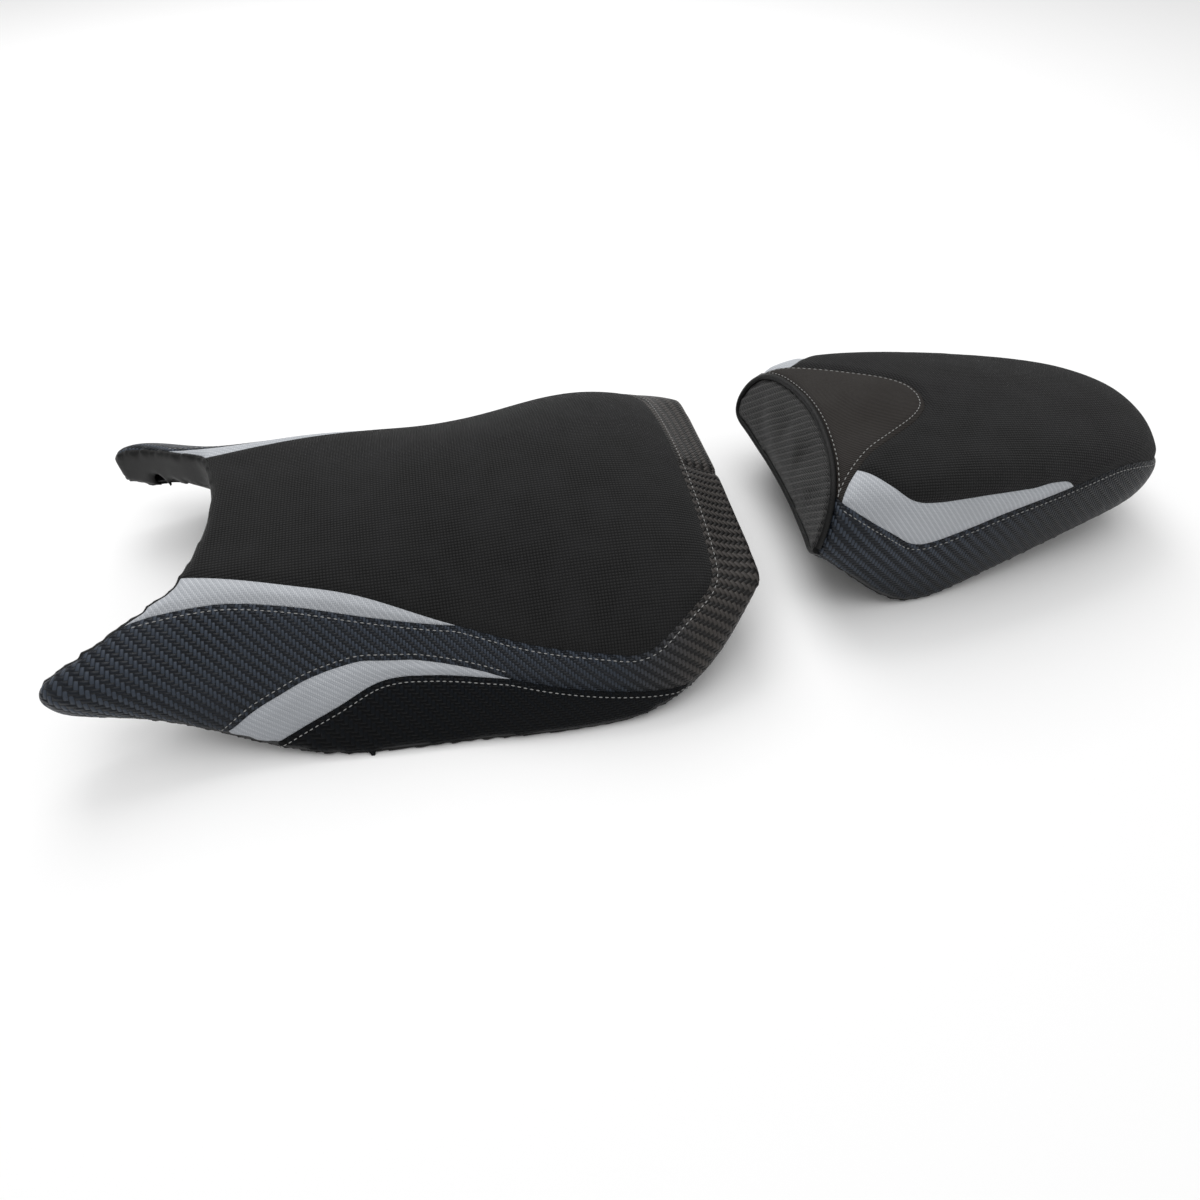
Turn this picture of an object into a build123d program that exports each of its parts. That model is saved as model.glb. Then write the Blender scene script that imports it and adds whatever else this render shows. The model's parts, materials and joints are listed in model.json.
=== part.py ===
from build123d import *
from functools import cache
import os

# Two-piece motorcycle seat: a rider unit with a tank notch and a pillion unit behind it.
# Millimetres, +X forward, +Y to the left of the bike, +Z up. The seat lies on a level surface at
# z = 0, and the origin is under the middle of its length and width. Each unit is a moulded
# plastic pan, a foam block on it and a sewn cover pulled round both and stapled underneath.

os.makedirs("parts", exist_ok=True)

# ---- overall sizes ----
rider_length = 505.0  # rear lip to horn tips
rider_width = 368.0  # over the side skirts
rider_height = 113.0  # resting surface to crown
pillion_length = 342.0
pillion_width = 228.0
pillion_height = 130.0
unit_gap = 44.0  # rider's rear lip to the pillion's front corners

# ---- layers ----
cover = 2.0  # vinyl or fabric on its backing
foam_side = 10.0  # foam over the pan's side walls
pan_wall = 3.0
flange_overhang = 8.0  # of the pan's rim flange, inside its wall
hem = 2.0  # folded edge of the cover
hem_width = 22.0
hem_recess = 1.0  # of the hem above the cover's lowest edge
rib_depth = 12.0
rib_wall = 2.5

# ---- front of the rider unit ----
arch_half_width = 104.0  # tunnel under the notch, for the back of the tank
arch_height = 60.0
arch_length = 180.0
arch_foot = 1.13  # half width at the tunnel's foot, as a share of arch_half_width
arch_shoulder = 0.8  # half width at its shoulders
arch_foot_level = -20.0
arch_spring = 0.66  # height where the sides turn in, as a share of arch_height
arch_haunch = 0.95  # height of the shoulders

# ---- front of the pillion unit ----
front_bow = 14.0  # how far the middle of the front wall stands back
front_lean = 0.19  # set-back of the front wall for each millimetre of height
lean_level = 45.0  # percent of the height at which the wall stands at its nominal place
welt_width = 5.0
welt_stand = 2.5  # of the welt above the cover

# ---- fixings ----
screw_radius = 2.1
screw_clearance = 0.15
screw_length = 12.0
screw_head_radius = 4.5
screw_head = 2.5
hole_extra = 1.0  # depth of a blind hole past what goes in it
pad_height = 6.0  # of the plastic pads that the steel parts are screwed to
pad_margin = 4.0  # by which a pad is longer and wider than the steel part on it
steel = 2.5
mount_hole_radius = 3.3  # for an M6 bolt
mount_hole_spacing = 130.0
bracket_width = 26.0
bracket_drop = 26.0
bracket_foot = 24.0
tongue_width = 50.0
tongue_step = 10.0
tongue_reach = 30.0
striker_radius = 4.0
striker_plate_length = 44.0
striker_plate_width = 64.0
striker_screw_edge = 7.0  # from a screw's centre to the plate's side
striker_spread = 36.0  # between the centres of the rod's legs
striker_drop = 34.0
hook_width = 18.0
hook_spacing = 90.0
hook_reach = 20.0
bumper_radius = 11.0
bumper_height = 14.0
bumper_stem_radius = 4.0
bumper_stem = 8.0
boss_radius = 9.0
staple_span = 11.0
staple_wire = 0.9
staple_leg = 3.5
staple_line = 0.6  # share of the hem's width at which the staples sit
rider_staple_count = 13  # on each side
pillion_staple_count = 9

# ---- where the fixings sit, in percent of a unit's length, half width or height ----
bracket_place = 13
tongue_place = 70
rider_pad_place = 50
rider_boss_place = 24
rider_bumper_places = [(24, 58), (60, 58)]
rider_rib_places = (8, 20, 32, 44, 56)
rider_long_rib = 22
striker_place = 42
striker_pad_place = 56
hook_place = 87
hook_pad_place = 46
pillion_bumper_places = [(20, 32), (66, 66)]
pillion_rib_places = (16, 29, 55, 68)
pillion_long_rib = 42

# Where each unit stands on the common centre line
total_length = rider_length + unit_gap + pillion_length
rider_rear = total_length / 2 - rider_length
pillion_rear = -total_length / 2
flange_level = hem_recess + hem  # height of the pan's flange above the cover's lower edge
foam_level = flange_level + pan_wall
below = -40.0  # how far down the bodies run before their lower edges are cut
wide = 300.0  # more than any half width


class Unit:
    """Lines of one cushion: stations along it, each with the right half of its outline."""

    def __init__(self, rear, length, width, height, stations, pan_top):
        self.rear, self.length, self.width, self.height = rear, length, width, height
        self.stations = stations
        self.pan_top = pan_top

    def x(self, share):
        return self.rear + self.length * share / 100

    def y(self, share):
        return self.width / 2 * share / 100

    def z(self, share):
        return self.height * share / 100

    def outline(self, row, inset):
        """Whole outline of a station, right edge over the crown to the left, made smaller."""
        half = self.width / 2
        right = [(self.y(y) * (half - inset) / half, self.z(z) - inset) for y, z in row]
        return right + [(-y, z) for y, z in reversed(right[:-1])]

    def spacing(self):
        """Mean share of the way round at each point, so that all outlines are parted alike."""
        shares = []
        for _, row in self.stations:
            points = [Vector(*point) for point in self.outline(row, 0)]
            steps = [(b - a).length for a, b in zip(points, points[1:])]
            shares.append([sum(steps[:n]) / sum(steps) for n in range(len(points))])
        return [sum(column) / len(shares) for column in zip(*shares)]

    def rim(self):
        return [(self.x(s), self.y(row[0][0]), self.z(row[0][1])) for s, row in self.stations]


# Stations in percent of the length from the rear. Points in percent of the half width and the
# height: lower edge, side, waist, shoulder, top and crown.
rider = Unit(rider_rear, rider_length, rider_width, rider_height, [
    (0.0, [(63, 51), (64, 56), (61, 59), (49, 62), (24, 65), (0, 65.5)]),
    (5.9, [(79, 34), (80, 41), (74, 55), (54, 67), (27, 74), (0, 77)]),
    (12.9, [(93, 14), (92, 25), (84, 48), (61, 74), (30, 88), (0, 91)]),
    (20.8, [(99, 2), (97, 16), (87, 46), (64, 76), (33, 93), (0, 98)]),
    (31.7, [(100, 0), (96, 18), (83, 46), (61, 74), (32, 94), (0, 100)]),
    (43.6, [(98, 0), (91, 19), (76, 46), (57, 71), (29, 92), (0, 98)]),
    (57.4, [(96, 0), (87, 19), (71, 48), (54, 76), (28, 92), (0, 96.5)]),
    (67.3, [(92, 2), (85, 21), (70, 51), (51, 81), (27, 92), (0, 94.7)]),
    (79.2, [(82, 18), (79, 35), (67, 58), (48, 83), (25, 91), (0, 93)]),
    (89.1, [(75, 32), (76, 46), (70, 64), (52, 81), (27, 88), (0, 89)]),
    (100.0, [(66, 38), (70, 50), (70, 60), (61, 69), (33, 78), (0, 81)]),
], [(0, 57), (13, 60), (32, 62), (60, 58), (79, 56), (100, 55)])

pillion = Unit(pillion_rear, pillion_length, pillion_width, pillion_height, [
    (0.0, [(39, 37), (41, 43), (39, 49), (33, 54), (18, 60), (0, 62)]),
    (4.0, [(51, 31), (54, 41), (52, 52), (44, 61), (25, 70), (0, 73)]),
    (13.5, [(63, 26), (68, 40), (65, 55), (57, 69), (32, 79), (0, 82)]),
    (34.0, [(79, 17), (82, 38), (79, 60), (71, 77), (41, 87), (0, 90)]),
    (54.4, [(92, 6), (93, 32), (89, 59), (80, 81), (45, 93), (0, 96)]),
    (72.5, [(99, 0), (98, 28), (94, 56), (86, 82), (47, 96), (0, 99)]),
    (89.5, [(92, 28), (95, 43), (92, 66), (81, 84), (44, 95), (0, 98)]),
    (100.0, [(85, 45), (86, 53), (81, 62), (67, 72), (35, 81), (0, 84)]),
], [(0, 46), (12, 54), (35, 62), (72, 66), (100, 58)])


@cache
def form(unit, inset):
    """Body of a unit, smaller all round by inset and running down past its lower edge."""
    last = len(unit.stations) - 1
    spacing = unit.spacing()
    with BuildPart() as body:
        for number, (share, row) in enumerate(unit.stations):
            shift = inset if number == 0 else -inset if number == last else 0
            over = unit.outline(row, inset)
            with BuildSketch(Plane.YZ.offset(unit.x(share) + shift)):
                with BuildLine():
                    add(Edge.make_spline([Vector(*point) for point in over], parameters=spacing))
                    Polyline(over[-1], (over[-1][0], below), (over[0][0], below), over[0])
                make_face()
        loft()
    return body.part


def band(unit, curve, lift, end):
    """Solid across the whole width between a side-view curve, lifted, and the level end."""
    points = [(unit.x(s), unit.z(z) + lift) for s, z in curve]
    first = (points[0][0] - wide, points[0][1])
    final = (points[-1][0] + wide, points[-1][1])
    with BuildPart() as solid:
        with BuildSketch(Plane.XZ):
            with BuildLine():
                Line(first, points[0])
                Spline(*points)
                Polyline(points[-1], final, (final[0], end), (first[0], end), first)
            make_face()
        extrude(amount=wide, both=True)
    return solid.part


@cache
def under_rim(unit, lift):
    """Everything below the cushion's lower edge, raised by lift."""
    return band(unit, [(s, row[0][1]) for s, row in unit.stations], lift, 2 * below)


@cache
def over_pan(unit, drop):
    """Everything above the pan's top, lowered by drop."""
    return band(unit, unit.pan_top, -drop, 2 * unit.height)


@cache
def notch(inset):
    """Cut-out for the back of the tank, larger by inset."""
    half = [(79.2, 0), (80.0, 16), (81.5, 31.5), (83.0, 39), (86.0, 45), (91.0, 54),
            (95.5, 61), (101.5, 67.5)]
    reach = half[-1][1]
    left = [(rider.x(s) - inset, rider.y(y) + inset * y / reach) for s, y in half]
    outline = [(x, -y) for x, y in reversed(left[1:])] + left
    front = rider.x(100) + wide
    with BuildPart() as cutter:
        with BuildSketch(Plane.XY.offset(below)):
            with BuildLine():
                Spline(*outline)
                Polyline(outline[-1], (front, left[-1][1]), (front, -left[-1][1]), outline[0])
            make_face()
        extrude(amount=2 * rider_height - below)
    return cutter.part


def arch():
    """Tunnel under the notch, open to the front."""
    side = arch_half_width
    foot = side * arch_foot
    shoulder = side * arch_shoulder
    spring = arch_height * arch_spring
    haunch = arch_height * arch_haunch
    front = rider.x(100) + cover
    with BuildPart() as tunnel:
        with BuildSketch(Plane.YZ.offset(front)):
            with BuildLine():
                Spline((foot, arch_foot_level), (side, spring), (shoulder, haunch),
                       (0, arch_height), (-shoulder, haunch), (-side, spring),
                       (-foot, arch_foot_level))
                Line((-foot, arch_foot_level), (foot, arch_foot_level))
            make_face()
        extrude(amount=-arch_length)
    return tunnel.part


@cache
def ahead_of_wall(inset):
    """Everything in front of the pillion's bowed, leaning front wall, set back by inset."""
    corner = pillion.x(100) - inset
    rise = 2 * pillion_height - below
    shift = -front_lean * rise
    with BuildPart() as cutter:
        with BuildSketch(Plane.XY.offset(below)):
            with BuildLine():
                start = corner - front_lean * (below - pillion.z(lean_level))
                middle = start - front_bow
                side = start + front_bow
                ThreePointArc((side, wide / 2), (middle, 0), (side, -wide / 2))
                Polyline((side, -wide / 2), (side + wide, -wide / 2), (side + wide, wide / 2),
                         (side, wide / 2))
            make_face()
        extrude(amount=rise * (1 + front_lean ** 2) ** 0.5, dir=(shift, 0, rise))
    return cutter.part


def cut(piece, *tools):
    """Piece without the tools."""
    with BuildPart() as result:
        add(piece)
        for tool in tools:
            add(tool, mode=Mode.SUBTRACT, clean=False)
    return result.part


def common(piece, *tools):
    """What piece shares with every tool."""
    with BuildPart() as result:
        add(piece)
        for tool in tools:
            add(tool, mode=Mode.INTERSECT, clean=False)
    return result.part


def layer(unit, ring, low, high):
    """Slice of a ring between two heights above the cushion's lower edge."""
    return cut(common(ring, under_rim(unit, high)), under_rim(unit, low))


def plan_zone(outline):
    """Vertical prism over a left-hand plan outline, mirrored to the right."""
    with BuildPart() as zone:
        with BuildSketch(Plane.XY.offset(below)):
            with BuildLine():
                Spline(*outline)
                Polyline(outline[-1], (outline[-1][0], 0), (outline[0][0], 0), outline[0])
            make_face()
            mirror(about=Plane.XZ)
        extrude(amount=2 * wide)
    return zone.part


def side_zone(outline, low):
    """Prism out to the left under a side-view outline, down to the level low."""
    with BuildPart() as zone:
        with BuildSketch(Plane.XZ):
            with BuildLine():
                Spline(*outline)
                Polyline(outline[-1], (outline[-1][0], low), (outline[0][0], low), outline[0])
            make_face()
        extrude(amount=-wide)
    return zone.part


def left_half():
    """Everything to the left of the centre plane."""
    with BuildPart() as block:
        with Locations((0, wide, 0)):
            Box(4 * wide, 2 * wide, 4 * wide)
    return block.part


def save(piece, name):
    """Label a finished piece and write it."""
    piece.label = name
    export_step(piece, f"parts/{name}.step")


def save_pair(piece, name):
    """Write a left-hand piece and its mirror image."""
    save(piece, f"{name}_left")
    with BuildPart() as twin:
        add(piece)
        mirror(about=Plane.XZ, mode=Mode.REPLACE)
    save(twin.part, f"{name}_right")


def on_hem(unit, count, first, last):
    """Planes on the underside of the hem, left then right, evenly spaced along the rim."""
    edge = Edge.make_spline([Vector(*p) for p in unit.rim()])
    for side in (1, -1):
        for number in range(count):
            at = first + (last - first) * number / (count - 1)
            point, along = edge.position_at(at), edge.tangent_at(at)
            inward = (cover + hem_width) * staple_line
            origin = (point.X, side * (point.Y - inward), point.Z + hem_recess)
            yield Plane(origin=origin, x_dir=(along.X, 0, along.Z), z_dir=(-along.Z, 0, along.X))


def staples(planes):
    """Wire staples with their backs flush in the hem."""
    low = (Align.CENTER, Align.CENTER, Align.MIN)
    with BuildPart() as group:
        for plane in planes:
            with Locations(plane):
                Box(staple_span, staple_wire, staple_wire, align=low)
                with GridLocations(staple_span - staple_wire, 1, 2, 1):
                    Box(staple_wire, staple_wire, staple_leg, align=low)
    return group.part


def screws(places):
    """Round-headed screws pointing up, each with its head's top face at its place."""
    down = (Align.CENTER, Align.CENTER, Align.MAX)
    up = (Align.CENTER, Align.CENTER, Align.MIN)
    with BuildPart() as group:
        with Locations(*places):
            Cylinder(screw_head_radius, screw_head, align=down)
            Cylinder(screw_radius, screw_length, align=up)
    return group.part


def screw_holes(places):
    """Clearance for the screws in what they hold and what they bite into."""
    up = (Align.CENTER, Align.CENTER, Align.MIN)
    with BuildPart() as group:
        with Locations(*places):
            Cylinder(screw_radius + screw_clearance, screw_length + hole_extra, align=up)
    return group.part


def pads(boxes, level):
    """Plastic pads that stand down from the pan to a level face. Boxes are x, y, length, width."""
    with BuildPart() as group:
        for x, y, length, width in boxes:
            with Locations((x, y, level)):
                Box(length, width, wide, align=(Align.CENTER, Align.CENTER, Align.MIN))
    return group.part


def bosses(places):
    """Posts that stand down from the pan and take the bumpers' stems."""
    up = (Align.CENTER, Align.CENTER, Align.MIN)
    with BuildPart() as group:
        with Locations(*places):
            Cylinder(boss_radius, wide, align=up)
    return group.part


def boss_holes(places):
    """Blind holes in the bosses."""
    up = (Align.CENTER, Align.CENTER, Align.MIN)
    with BuildPart() as group:
        with Locations(*places):
            Cylinder(bumper_stem_radius + screw_clearance, bumper_stem + hole_extra, align=up)
    return group.part


def bumpers(places):
    """Rubber buffers with a push-in stem."""
    down = (Align.CENTER, Align.CENTER, Align.MAX)
    up = (Align.CENTER, Align.CENTER, Align.MIN)
    with BuildPart() as group:
        with Locations(*places):
            Cylinder(bumper_radius, bumper_height, align=down)
            Cylinder(bumper_stem_radius, bumper_stem, align=up)
    return group.part


def ribs(unit, cross, lengthwise):
    """Grid of webs, cross at x places and lengthwise at y places."""
    with BuildPart() as grid:
        for x in cross:
            with Locations((x, 0, 0)):
                Box(rib_wall, 2 * wide, 2 * wide)
        for y in lengthwise:
            with Locations((unit.x(50), y, 0)):
                Box(2 * unit.length, rib_wall, 2 * wide)
    return grid.part


def build_pan(unit, front_cuts, flange_cuts, room_cuts, solid_pads, holes, rib_grid):
    """Moulded tray with a rim flange, ribs under its top, and pads and bosses."""
    outer_inset = cover + foam_side
    inner_inset = outer_inset + pan_wall
    outer = cut(form(unit, outer_inset), over_pan(unit, 0), *front_cuts)
    room = cut(form(unit, inner_inset), over_pan(unit, pan_wall), *room_cuts)
    webs = common(rib_grid, cut(room, *front_cuts), over_pan(unit, pan_wall + rib_depth))
    ring = cut(form(unit, cover), form(unit, inner_inset + flange_overhang), *front_cuts,
               *flange_cuts)
    rim_flange = layer(unit, ring, flange_level, foam_level)
    with BuildPart() as pan:
        add(outer)
        add(room, mode=Mode.SUBTRACT, clean=False)
        add(webs, clean=False)
        add(common(solid_pads, outer), clean=False)
        add(holes, mode=Mode.SUBTRACT, clean=False)
        add(under_rim(unit, flange_level), mode=Mode.SUBTRACT, clean=False)
        add(rim_flange, clean=False)
    return pan.part, outer


# ---- rider unit: fixings under the pan ----
rider_pad_level = rider.z(rider_pad_place) - pad_height
bracket_x = rider.x(bracket_place)
bracket_y = mount_hole_spacing / 2
bracket_pads = [(bracket_x - bracket_foot / 2, side * bracket_y, bracket_foot + pad_margin,
                 bracket_width + pad_margin) for side in (1, -1)]
bracket_screw_y = bracket_width / 4
bracket_screws = [(bracket_x - bracket_foot / 2, side * bracket_y + across, rider_pad_level - steel)
                  for side in (1, -1) for across in (-bracket_screw_y, bracket_screw_y)]
tongue_x = rider.x(tongue_place)
tongue_pad = [(tongue_x - tongue_reach / 2, 0, tongue_reach + pad_margin,
               tongue_width + pad_margin)]
tongue_screws = [(tongue_x - tongue_reach / 2, across, rider_pad_level - steel)
                 for across in (-tongue_width / 3, tongue_width / 3)]
rider_boss_level = rider.z(rider_boss_place)
rider_bumpers = [(rider.x(s), side * rider.y(y), rider_boss_level)
                 for s, y in rider_bumper_places for side in (1, -1)]
rider_grid = ribs(rider, [rider.x(s) for s in rider_rib_places],
                  [side * rider.y(rider_long_rib) for side in (1, -1)])

# ---- rider unit: pan, foam and cover ----
tunnel = arch()
with BuildPart() as rider_posts:
    add(pads(bracket_pads + tongue_pad, rider_pad_level))
    add(bosses(rider_bumpers))
with BuildPart() as rider_pan_holes:
    add(screw_holes(bracket_screws + tongue_screws))
    add(boss_holes(rider_bumpers))
rider_pan, rider_pan_block = build_pan(rider, [notch(cover)], [tunnel], [],
                                       rider_posts.part, rider_pan_holes.part, rider_grid)
save(rider_pan, "rider_base_pan")

rider_core = cut(form(rider, cover), notch(cover))
rider_foam = cut(rider_core, under_rim(rider, foam_level), rider_pan_block, tunnel)
save(rider_foam, "rider_foam")

rider_ring = cut(rider_core, form(rider, cover + hem_width), tunnel)
rider_hem = layer(rider, rider_ring, hem_recess, flange_level)
save(rider_hem, "rider_hem")
save(staples(list(on_hem(rider, rider_staple_count, 0.08, 0.86))), "rider_staples")

rider_skin = cut(form(rider, 0), notch(0), form(rider, cover), under_rim(rider, 0), tunnel)
rider_wall = cut(common(form(rider, 0), notch(cover)), notch(0), under_rim(rider, 0), tunnel)
save(rider_wall, "rider_front_wall")
rider_shell = cut(rider_skin, notch(cover))


def rider_plan(*points):
    return [(rider.x(s), rider.y(y)) for s, y in points]


def rider_side(*points):
    return [(rider.x(s), rider.z(z)) for s, z in points]


top_zone = plan_zone(rider_plan(
    (86.3, 35), (78.4, 38.6), (67.1, 46.7), (57.8, 53.3), (45.5, 65.8), (33.7, 78.8), (24.2, 86),
    (20, 87), (16.6, 83.7), (11.1, 73.4), (8.5, 66.3), (7.5, 56.5), (7.1, 27)))
silver_zone = plan_zone(rider_plan(
    (99, 62), (91.1, 54.5), (85.7, 51), (80, 49.5), (74.9, 50), (67.3, 53.8), (60, 58.2),
    (52.7, 62), (45.5, 65.8), (42, 66)))
seam_zone = side_zone(rider_side(
    (81.5, 10), (79.4, 18.6), (75, 31.9), (70.1, 39.8), (65.9, 45.1), (60, 48.7), (56.2, 47.6),
    (49.5, 44.2), (43.2, 39.8), (39, 36), (28.5, 28.3), (18.2, 21), (12, 17)), below)
dark_zone = side_zone(rider_side(
    (75, 3), (72.9, 11.5), (68.7, 20.4), (63, 29.2), (57, 38), (51.9, 38.5), (43.4, 36.8),
    (39, 36), (35, 38), (10, 38)), below)
left = left_half()

save(common(rider_shell, top_zone), "rider_top_panel")
rider_outer = cut(common(rider_shell, left), top_zone)
save_pair(cut(common(rider_outer, silver_zone), seam_zone), "rider_silver_upper")
rider_lower = common(rider_outer, seam_zone)
save_pair(common(rider_lower, dark_zone), "rider_lower_panel")
save_pair(cut(rider_lower, dark_zone), "rider_silver_lower")
save_pair(cut(rider_outer, silver_zone, seam_zone), "rider_carbon_band")

# ---- rider unit: fixings ----
foot_level = rider_pad_level - bracket_drop
with BuildPart() as bracket:
    with BuildSketch(Plane.XZ.offset(-bracket_y - bracket_width / 2)):
        with BuildLine():
            path = Polyline((bracket_x - bracket_foot, rider_pad_level),
                            (bracket_x, rider_pad_level), (bracket_x, foot_level),
                            (bracket_x + bracket_foot, foot_level))
            offset(path, amount=steel, side=Side.RIGHT)
        make_face()
    extrude(amount=bracket_width)
    with Locations((bracket_x + bracket_foot / 2, bracket_y, foot_level)):
        Cylinder(mount_hole_radius, 4 * steel, mode=Mode.SUBTRACT)
    add(screw_holes(bracket_screws), mode=Mode.SUBTRACT)
save_pair(bracket.part, "rider_rear_bracket")
save(screws(bracket_screws), "rider_bracket_screws")

with BuildPart() as tongue:
    with BuildSketch(Plane.XZ.offset(-tongue_width / 2)):
        with BuildLine():
            path = Polyline((tongue_x - tongue_reach, rider_pad_level), (tongue_x, rider_pad_level),
                            (tongue_x + tongue_step, rider_pad_level - tongue_step),
                            (tongue_x + tongue_step + tongue_reach, rider_pad_level - tongue_step))
            offset(path, amount=steel, side=Side.RIGHT)
        make_face()
    extrude(amount=tongue_width)
    add(screw_holes(tongue_screws), mode=Mode.SUBTRACT)
save(tongue.part, "rider_front_tongue")
save(screws(tongue_screws), "rider_tongue_screws")
save(bumpers(rider_bumpers), "rider_bumpers")

# ---- pillion unit: fixings under the pan ----
pillion_pad_level = pillion.z(striker_pad_place) - pad_height
striker_x = pillion.x(striker_place)
striker_pad = [(striker_x, 0, striker_plate_length + pad_margin,
                striker_plate_width + pad_margin)]
striker_screw_x = striker_plate_length / 3
striker_screw_y = striker_plate_width / 2 - striker_screw_edge
striker_screws = [(striker_x + along, across, pillion_pad_level - steel)
                  for along in (-striker_screw_x, striker_screw_x)
                  for across in (-striker_screw_y, striker_screw_y)]
hook_x = pillion.x(hook_place)
hook_level = pillion.z(hook_pad_place)
hook_pads = [(hook_x - hook_reach / 2, side * hook_spacing / 2, hook_reach + pad_margin,
              hook_width + pad_margin) for side in (1, -1)]
hook_screws = [(hook_x - hook_reach / 2, side * hook_spacing / 2, hook_level - steel)
               for side in (1, -1)]
pillion_bumpers = [(pillion.x(s), side * pillion.y(y), bumper_height)
                   for s, y in pillion_bumper_places for side in (1, -1)]
pillion_grid = ribs(pillion, [pillion.x(s) for s in pillion_rib_places],
                    [side * pillion.y(pillion_long_rib) for side in (1, -1)])

# ---- pillion unit: pan, foam and cover ----
with BuildPart() as pillion_posts:
    add(pads(striker_pad, pillion_pad_level))
    add(pads(hook_pads, hook_level))
    add(bosses(pillion_bumpers))
with BuildPart() as pillion_pan_holes:
    add(screw_holes(striker_screws + hook_screws))
    add(boss_holes(pillion_bumpers))
wall_inner = ahead_of_wall(cover)
pillion_pan, pillion_pan_block = build_pan(
    pillion, [wall_inner], [], [ahead_of_wall(cover + pan_wall)],
    pillion_posts.part, pillion_pan_holes.part, pillion_grid)
save(pillion_pan, "pillion_base_pan")

pillion_core = cut(form(pillion, cover), wall_inner)
save(cut(pillion_core, under_rim(pillion, foam_level), pillion_pan_block),
     "pillion_foam")
pillion_ring = cut(pillion_core, form(pillion, cover + hem_width))
save(layer(pillion, pillion_ring, hem_recess, flange_level), "pillion_hem")
save(staples(list(on_hem(pillion, pillion_staple_count, 0.12, 0.9))), "pillion_staples")

wall_outer = ahead_of_wall(0)
pillion_rim = under_rim(pillion, 0)
save(cut(common(form(pillion, cover), wall_inner), wall_outer, pillion_rim), "pillion_front_wall")
welt_back = ahead_of_wall(welt_width)
save(cut(common(form(pillion, -welt_stand), welt_back), wall_outer, form(pillion, cover),
         pillion_rim), "pillion_front_welt")
pillion_shell = cut(form(pillion, 0), form(pillion, cover), welt_back, pillion_rim)


def pillion_plan(*points):
    return [(pillion.x(s), pillion.y(y)) for s, y in points]


side_seam = band(pillion, [(0, 51), (5.3, 56.5), (12.6, 63), (21.3, 66.5), (34.2, 64.5),
                           (51.2, 60), (61.4, 54.5), (71.3, 49.5), (76.6, 51.5), (81.9, 61),
                           (90.6, 76), (95, 81), (98, 82)], 0, 2 * below)
tongue_zone = plan_zone(pillion_plan(
    (96, 88), (92.5, 73), (87.7, 60), (83.6, 51), (76.9, 40), (69.6, 27), (65.5, 14), (64.4, 5)))
pillion_top_zone = plan_zone(pillion_plan(
    (94, 56), (87.7, 66), (82.5, 80), (78.1, 87.5), (71, 88.5), (60.2, 86), (48.2, 82.5),
    (34.2, 77.5), (28, 90), (-6, 100)))
save_pair(common(pillion_shell, side_seam, left), "pillion_side_panel")
pillion_upper = cut(pillion_shell, side_seam)
save(common(pillion_upper, tongue_zone), "pillion_tongue_panel")
pillion_rest = cut(pillion_upper, tongue_zone)
save(common(pillion_rest, pillion_top_zone), "pillion_top_panel")
save_pair(cut(common(pillion_rest, left), pillion_top_zone), "pillion_silver")

# ---- pillion unit: fixings ----
with BuildPart() as striker_plate:
    with Locations((striker_x, 0, pillion_pad_level)):
        Box(striker_plate_length, striker_plate_width, steel,
            align=(Align.CENTER, Align.CENTER, Align.MAX))
    add(screw_holes(striker_screws), mode=Mode.SUBTRACT)
save(striker_plate.part, "pillion_striker_plate")
leg = striker_spread / 2
with BuildPart() as striker_rod:
    with BuildLine():
        high, low = pillion_pad_level - steel, pillion_pad_level - striker_drop
        loop = FilletPolyline((striker_x, -leg, high), (striker_x, -leg, low),
                              (striker_x, leg, low), (striker_x, leg, high),
                              radius=2 * striker_radius)
    with BuildSketch(Plane(origin=loop @ 0, z_dir=loop % 0)):
        Circle(striker_radius)
    sweep()
save(striker_rod.part, "pillion_striker_rod")
save(screws(striker_screws), "pillion_striker_screws")

with BuildPart() as hook:
    with BuildSketch(Plane.XZ.offset(-hook_spacing / 2 - hook_width / 2)):
        with BuildLine():
            path = Polyline((hook_x - hook_reach, hook_level), (hook_x, hook_level),
                            (hook_x, hook_level - 2 * steel),
                            (hook_x + hook_reach, hook_level - 2 * steel))
            offset(path, amount=steel, side=Side.RIGHT)
        make_face()
    extrude(amount=hook_width)
    add(screw_holes(hook_screws), mode=Mode.SUBTRACT)
save_pair(hook.part, "pillion_front_hook")
save(screws(hook_screws), "pillion_hook_screws")
save(bumpers(pillion_bumpers), "pillion_bumpers")
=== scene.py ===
import json
import math
import bmesh
import bpy
import numpy as np
from mathutils import Matrix, Vector
from mathutils.bvhtree import BVHTree
from mathutils.kdtree import KDTree


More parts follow.
